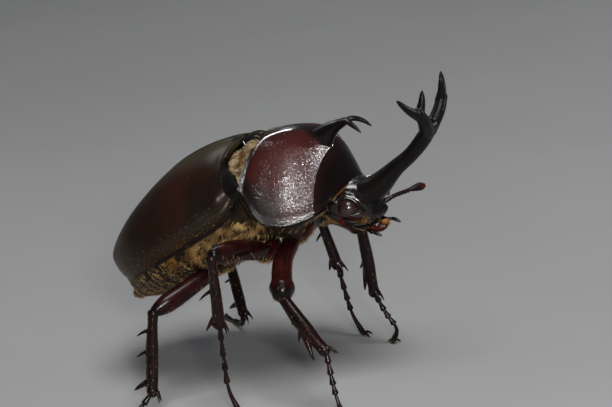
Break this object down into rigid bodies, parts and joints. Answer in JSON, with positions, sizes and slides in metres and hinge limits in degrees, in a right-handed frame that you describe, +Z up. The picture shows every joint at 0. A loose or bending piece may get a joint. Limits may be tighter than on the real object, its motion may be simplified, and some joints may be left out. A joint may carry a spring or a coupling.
{
  "type": "japanese rhinoceros beetle",
  "caption": "Still life-size male rhinoceros beetle with a forked head horn, standing on its legs with its hind end low.",
  "frame": {"origin": "on the floor, in the middle of the box round the whole beetle", "axes": "+X forward from tail to head horn, +Y to the beetle's left, +Z up"},
  "size_m": [0.0534, 0.0506, 0.0434],
  "materials": {
    "shell": "glossy black horn",
    "shield": "glossy dark red, finely pitted",
    "wing_case": "satin dark brown",
    "hairy_underside": "dark shell under short golden hairs",
    "eye": "glossy dark brown",
    "mouth": "satin red brown",
    "leg": "glossy red black"
  },
  "bodies": {
    "root": {"head": "shell", "cephalic_horn": "shell", "thoracic_horn": "shell", "pronotum": "shield", "scutellum": "shell", "elytron_right": "wing_case", "elytron_left": "wing_case", "eye_right": "eye", "eye_left": "eye", "prosternum": "hairy_underside", "mesothorax": "hairy_underside", "metathorax": "hairy_underside", "abdomen": "hairy_underside", "pygidium": "shell", "mouthparts": "mouth", "palp_right": "mouth", "palp_left": "mouth", "antenna_right": "leg", "antenna_left": "leg", "fore_coxa_right": "leg", "fore_coxa_left": "leg", "fore_femur_right": "leg", "fore_femur_left": "leg", "fore_tibia_right": "leg", "fore_tibia_left": "leg", "fore_tarsus_right": "leg", "fore_tarsus_left": "leg", "mid_coxa_right": "leg", "mid_coxa_left": "leg", "mid_femur_right": "leg", "mid_femur_left": "leg", "mid_tibia_right": "leg", "mid_tibia_left": "leg", "mid_tarsus_right": "leg", "mid_tarsus_left": "leg", "hind_coxa_right": "leg", "hind_coxa_left": "leg", "hind_femur_right": "leg", "hind_femur_left": "leg", "hind_tibia_right": "leg", "hind_tibia_left": "leg", "hind_tarsus_right": "leg", "hind_tarsus_left": "leg"}
  },
  "joints": []
}
